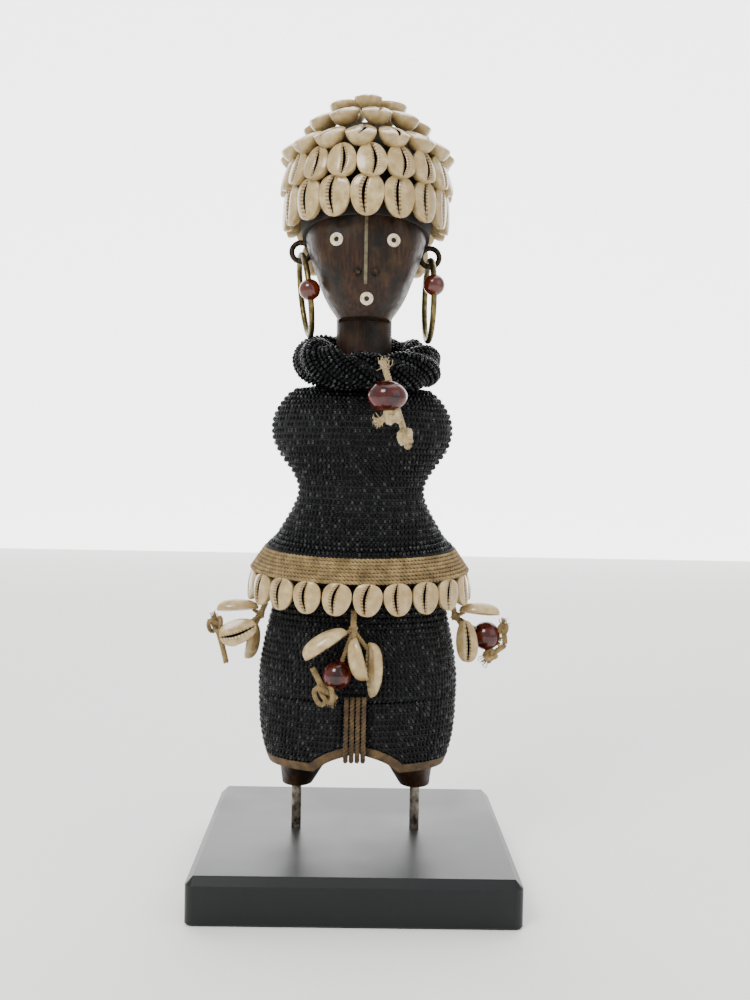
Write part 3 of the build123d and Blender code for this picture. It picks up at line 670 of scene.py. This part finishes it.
def shell_template():
    """A cowrie one unit long, wide and deep. The mouth side faces +Z and the wide end is at +Y."""
    bm = bmesh.new()
    bmesh.ops.create_uvsphere(bm, u_segments=SHELL_COLUMNS, v_segments=SHELL_RINGS, radius=1.0)
    bmesh.ops.rotate(bm, verts=bm.verts, matrix=Matrix.Rotation(math.radians(-90), 3, "X"))
    mouth_layer = bm.verts.layers.float.new("mouth")
    raw = {}
    for vert in bm.verts:
        x, y, z = vert.co
        girth = math.sqrt(max(0.0, 1 - y * y))
        round_x, round_z = (x / girth, z / girth) if girth > 1e-6 else (0.0, 0.0)
        belly = y + 0.16 * (1 - y * y)
        wide = girth ** 0.86
        raw[vert] = (round_x, round_z, y)
        if round_z >= -1e-6:
            offset = math.copysign(abs(round_x) ** 1.5, round_x)
            bend = (0.24 * (1 - y * y) - 0.08 * y) * (1 - abs(offset))
            flat = 1 - abs(round_x) ** 3.2
            groove = 0.22 * max(0.0, 1 - abs(offset) / 0.14) * min(1.0, girth * 2.0)
            vert.co = (
                0.5 * wide * (offset * 0.99 - bend),
                0.5 * belly,
                -0.17 + wide * 0.17 * flat - groove,
            )
            vert[mouth_layer] = 1.0 if abs(round_x) < 0.97 else 0.0
            raw[vert] = (offset, round_z, y)
        else:
            vert.co = (0.5 * wide * round_x, 0.5 * belly, -0.17 + 0.83 * wide ** 0.9 * round_z)
            vert[mouth_layer] = 0.0
    uv = bm.loops.layers.uv.new("shell")
    for face in bm.faces:
        for loop in face.loops:
            offset, round_z, y = raw[loop.vert]
            loop[uv].uv = (0.5 + 0.5 * offset, 0.5 + 0.5 * y)
    bmesh.ops.recalc_face_normals(bm, faces=bm.faces)
    return bm


cowrie = shell_template()


def shell_places(node, hint=None, stretch=(1.05, 1.05, 1.0)):
    """A placement over each CAD shell of a node, found from its flat side and its wide end.

    hint is roughly its lengthwise direction, where the outline alone can't tell it.
    """
    made = []
    for corners, sides in solids(node):
        total = {}
        for normal, area, centre in sides:
            key = tuple(round(c, 2) for c in normal)
            total[key] = total.get(key, 0.0) + area
        outward = Vector(max(total, key=total.get)).normalized()
        rim = np.array([c[:] for n, a, c in sides if n.dot(outward) > 0.999])
        plane_height = float(np.median(rim @ np.array(outward)))
        centre = Vector(corners.mean(axis=0))
        if hint is None:
            flat = corners - corners.mean(axis=0)
            flat = flat - np.outer(flat @ np.array(outward), np.array(outward))
            values, axes = np.linalg.eigh(np.cov(flat.T))
            lengthwise = Vector(axes[:, 2])
        else:
            lengthwise = (Vector(hint) - outward * outward.dot(Vector(hint))).normalized()
        across = lengthwise.cross(outward)
        spread = corners - np.array(centre)
        along, wide, deep = (spread @ np.array(d) for d in (lengthwise, across, outward))
        middle = (along.max() + along.min()) / 2
        upper = np.abs(wide[along > middle + 0.2 * np.ptp(along)]).max()
        lower = np.abs(wide[along < middle - 0.2 * np.ptp(along)]).max()
        if lower > upper:
            lengthwise, across = -lengthwise, -across
            middle = -middle
        sideways = spread @ np.array(across)
        origin = centre + lengthwise * middle + across * float(sideways.max() + sideways.min()) * 0.5
        origin = origin + outward * (plane_height - origin.dot(outward))
        size = (np.ptp(wide) * stretch[0], np.ptp(along) * stretch[1], np.ptp(deep) * stretch[2])
        turn = Matrix.Rotation(math.radians(random.gauss(0, 4)), 3, outward)
        lengthwise, across = turn @ lengthwise, turn @ across
        made.append(pose(origin, across, lengthwise, outward, size))
    return made


# %% Hair, belt fringe and pendants
UP = (0, 0, 1)
HAIR_STRETCH = (1.1, 1.08, 1.05)
BELT_STRETCH = (1.08, 1.15, 1.0)
PENDANT_STRETCH = (1.02, 1.02, 1.0)


def sew_shells(name, node, body, hint, stretch):
    """Cowries in place of a node's CAD shells. The stretch lets neighbours crowd each other."""
    copies(name + "_cowries", cowrie, shell_places(node, hint, stretch), shell, body, [node])


for node in sorted(n for n in nodes if n.startswith("hair_shells")):
    sew_shells(node, node, "figure", UP, HAIR_STRETCH)
sew_shells("belt", "belt_shells", "figure", UP, BELT_STRETCH)
for name in ("front_pendant", "left_hip_pendant", "right_hip_pendant"):
    sew_shells(name, name + "_shells", name, None, PENDANT_STRETCH)

# %% [markdown]
# ## Twine and cords

# %% Belt twine and binding cords
routes = []
for corners, sides in solids("belt_twine"):
    middle, wide, deep, half_wide, half_deep, thick = ring_of(corners)
    path = oval(middle, wide, deep, half_wide, half_deep, 360)
    routes += plies(path, True, 0.44 * MM, 2, 3.2 * MM, 0.5 * MM, 0.1)
tubes("belt_twine_plies", routes, jute, "figure", ["belt_twine"])

routes = []
for corners, sides in solids("crotch_cords"):
    low, high = corners.min(axis=0), corners.max(axis=0)
    x = (low[0] + high[0]) / 2
    radius = (high[0] - low[0]) / 2
    front, back = low[1] + radius, high[1] - radius
    bottom, bend = low[2] + radius, 6 * MM
    turn = np.linspace(0, math.pi / 2, 9)
    path = [(x, front, high[2])]
    path += [(x, front + bend - bend * math.cos(a), bottom + bend - bend * math.sin(a)) for a in turn]
    path += [(x, back - bend + bend * math.sin(a), bottom + bend - bend * math.cos(a)) for a in turn]
    path += [(x, back, high[2])]
    routes += plies(path, False, 0.5 * MM, 2, 3.0 * MM, 0.4 * MM, 0.1)
tubes("crotch_cord_plies", routes, brown_cord, "figure", ["crotch_cords"])


# %% Pendant twine
END_REACH = 1.5 * MM
HUB_KNOT = 1.5 * MM


def knot_route(centre, along, size):
    """A small tied knot: a trefoil curve squashed across the run of the twine."""
    side = np.array(Vector(along).orthogonal().normalized())
    other = np.cross(along, side)
    t = np.linspace(0, 2 * np.pi, 64, endpoint=False)[:, None]
    flat = (np.sin(t) + 2 * np.sin(2 * t)) * side + (np.cos(t) - 2 * np.cos(2 * t)) * other
    return centre + (flat * 0.3 - 0.75 * np.sin(3 * t) * along) * size


def frayed_end(end, along, size, count=16):
    """Loose fibres fanning out of the cut end of a twine."""
    routes = []
    for fibre_index in range(count):
        aim = np.array(along) + noise.normal(0, 0.42, 3)
        aim /= np.linalg.norm(aim)
        share = np.linspace(0, 1, 6)[:, None]
        curl = np.sin(share * math.pi) * noise.normal(0, 0.2, 3) * size
        path = end + aim * share * size * (0.8 + 0.4 * random.random()) + curl
        routes.append((path, np.linspace(0.26, 0.1, 6) * MM, False))
    return routes


def twine_run(corners, ply_radius, towards, knot_scale):
    """One CAD run as a plied twine with a knot near its free end, and a frayed tip past the knot."""
    centre = corners.mean(axis=0)
    values, axes = np.linalg.eigh(np.cov((corners - centre).T))
    along = axes[:, 2]
    if np.dot(along, centre - towards) < 0:
        along = -along
    spread = (corners - centre) @ along
    start, end = centre + along * spread.min(), centre + along * spread.max()
    radius = np.ptp((corners - centre) @ axes[:, 1]) / 2
    tip = min(2.4 * MM, 0.3 * np.linalg.norm(end - start))
    knot = end - along * (tip + radius)
    share = np.linspace(0, 1, 16)[:, None]
    path = start + (knot - start) * share + np.sin(share * math.pi) * axes[:, 0] * 0.5 * MM
    routes = plies(path, False, ply_radius * 1.25, 3, 3.4 * MM, 0.4 * MM)
    routes += plies(knot_route(knot, along, radius * knot_scale), True, ply_radius, 3, 3.0 * MM, 0.3 * MM)
    routes += frayed_end(knot + along * radius * 0.6, along, tip + 1.2 * MM)
    return routes


def tie(start, end, ply_radius, bow):
    """A short thin cord from one place to another, bowed forwards by some millimetres."""
    share = np.linspace(0, 1, 14)[:, None]
    path = start + (end - start) * share + np.sin(share * math.pi) * np.array((0, -bow, 0)) * MM
    return plies(path, False, ply_radius, 2, 2.4 * MM, 0.3 * MM)


def pendant_twine(name, finish, ply_radius, knot_scale):
    """The twine runs of a pendant, and the thin cords that tie its shells and its bead together."""
    runs = [corners for corners, sides in solids(name + "_twine")]
    bead_middle = solids(name + "_bead")[0][0].mean(axis=0)
    hanging = max(range(len(runs)), key=lambda index: runs[index][:, 2].max())
    corners = runs.pop(hanging)
    top = corners[corners[:, 2] > corners[:, 2].max() - END_REACH].mean(axis=0)
    hub = corners[corners[:, 2] < corners[:, 2].min() + END_REACH].mean(axis=0)
    share = np.linspace(0, 1, 12)[:, None]
    routes = plies(top + (hub - top) * share, False, ply_radius * 1.25, 3, 3.4 * MM, 0.4 * MM)
    for corners in runs:
        routes += twine_run(corners, ply_radius, bead_middle, knot_scale)
        near = corners[np.linalg.norm(corners - bead_middle, axis=1).argmin()]
        routes += tie(bead_middle, near, ply_radius, 0.0)
    knot = knot_route(hub, np.array([0, 0, 1.0]), HUB_KNOT)
    routes += plies(knot, True, ply_radius * 0.85, 2, 2.6 * MM, 0.3 * MM)
    routes += tie(hub, bead_middle, ply_radius, 0.6)
    for corners, sides in solids(name + "_shells"):
        near = corners[np.linalg.norm(corners - hub, axis=1).argmin()]
        inside = near + (corners.mean(axis=0) - near) * 0.25
        routes += tie(hub, inside, ply_radius, 0.5)
    tubes(name + "_strands", routes, finish, name, [name + "_twine"])


def neck_twine(ply_radius):
    """The neck pendant: a frayed stub above the bead, and below it two knots and a short side tail."""
    corners = solids("neck_pendant_twine")[0][0]
    middle = solids("neck_pendant_bead")[0][0].mean(axis=0)
    top = corners[corners[:, 2] > corners[:, 2].max() - END_REACH].mean(axis=0)
    foot = corners[corners[:, 2] < corners[:, 2].min() + END_REACH].mean(axis=0)
    along = (foot - top) / np.linalg.norm(foot - top)
    sideways = np.array([-0.8, 0.0, -0.35])
    first = middle + along * 7.6 * MM
    tail = first + sideways * 7.0 * MM
    routes = plies(top + (foot - top) * np.linspace(0, 1, 14)[:, None], False, ply_radius, 3, 3.6 * MM)
    routes += frayed_end(top + along * 3.0 * MM, -along, 4.0 * MM, 34)
    for place, size in ((first, 2.9 * MM), (foot - along * 2.0 * MM, 2.5 * MM)):
        routes += plies(knot_route(place, along, size), True, ply_radius, 3, 3.0 * MM, 0.3 * MM)
    routes += plies(first + (tail - first) * np.linspace(0, 1, 8)[:, None], False, ply_radius, 3, 3.2 * MM)
    routes += frayed_end(tail - sideways * 1.5 * MM, sideways, 3.2 * MM, 34)
    routes += frayed_end(foot, along, 2.6 * MM, 26)
    tubes("neck_pendant_strands", routes, pale_jute, "neck_pendant", ["neck_pendant_twine"])


neck_twine(0.62 * MM)
for name in ("front_pendant", "left_hip_pendant", "right_hip_pendant"):
    pendant_twine(name, jute, 0.46 * MM, 1.15)

# %% Hems
for side in ("left", "right"):
    nodes[side + "_leg_hem"].data.materials.clear()
    nodes[side + "_leg_hem"].data.materials.append(brown_cord.material)

# %% [markdown]
# ## CAD pieces that keep their shape

# %% Finishes for CAD pieces
KEPT = {
    "base_board": board,
    "left_pin": steel,
    "right_pin": steel,
    "carved_figure": wood,
    "left_eye_ring": ivory,
    "right_eye_ring": ivory,
    "mouth_ring": ivory,
    "nose_strip": strip,
    "left_nostril_tack": iron,
    "right_nostril_tack": iron,
    "left_ear_loop": iron,
    "right_ear_loop": iron,
    "left_earring_hoop": brass,
    "right_earring_hoop": brass,
    "left_earring_bead": orange,
    "right_earring_bead": orange,
    "neck_pendant_bead": maroon,
    "front_pendant_bead": maroon,
    "left_hip_pendant_bead": maroon,
    "right_hip_pendant_bead": maroon,
    "hair_cap": netting_with_shade,
}
for node, finish in KEPT.items():
    nodes[node].data.materials.clear()
    nodes[node].data.materials.append(finish.material)
print("kept", len(KEPT))

# %% [markdown]
# ## Studio
# A pale floor and a glowing white backdrop, under a window light and two soft fills.

# %% Floor and light
BACKDROP_GLOW = 3.0
BACKDROP_DISTANCE = 1.7
BACKDROP_HEIGHT = 1.9


def studio_sheet(name, finish, half_size, tilt, place):
    """A flat square sheet of the studio, level or stood up by a tilt in degrees."""
    bm = bmesh.new()
    bmesh.ops.create_grid(bm, x_segments=1, y_segments=1, size=half_size)
    bmesh.ops.rotate(bm, verts=bm.verts, matrix=Matrix.Rotation(math.radians(tilt), 3, "X"))
    bmesh.ops.translate(bm, verts=bm.verts, vec=place)
    mesh = bpy.data.meshes.new(name)
    bm.to_mesh(mesh)
    bm.free()
    mesh.materials.append(finish.material)
    sheet = bpy.data.objects.new(name, mesh)
    bpy.context.scene.collection.objects.link(sheet)
    return sheet


def area_light(name, place, aim, size, power):
    """A soft square light aimed at a point."""
    lamp = bpy.data.lights.new(name, "AREA")
    lamp.size = size
    lamp.energy = power
    thing = bpy.data.objects.new(name, lamp)
    thing.location = place
    thing.rotation_euler = (Vector(aim) - Vector(place)).to_track_quat("-Z", "Y").to_euler()
    bpy.context.scene.collection.objects.link(thing)
    return thing


floor = studio_sheet("floor", Finish("pale_studio_floor", "#f4f4f2", 0.9), 3.0, 0, (0, 0, 0))
glowing = Finish("white_backdrop", "#ffffff", 1.0)
glowing.shader.inputs["Emission Color"].default_value = (1, 1, 1, 1)
glowing.shader.inputs["Emission Strength"].default_value = BACKDROP_GLOW
backdrop = studio_sheet("backdrop", glowing, 2.0, 90, (0, BACKDROP_DISTANCE, BACKDROP_HEIGHT))
key = area_light("window", (-0.45, -0.75, 0.95), (0, 0, 0.17), 0.4, 9.0)
fill = area_light("fill", (0.8, -0.6, 0.6), (0, 0, 0.17), 0.8, 2.0)
top = area_light("top", (0.1, 0.1, 1.2), (0, 0, 0.2), 0.8, 4.0)
world = bpy.data.worlds.new("studio")
bpy.context.scene.world = world
world.use_nodes = True
world.node_tree.nodes["Background"].inputs["Color"].default_value = (1, 1, 1, 1)
world.node_tree.nodes["Background"].inputs["Strength"].default_value = 0.9
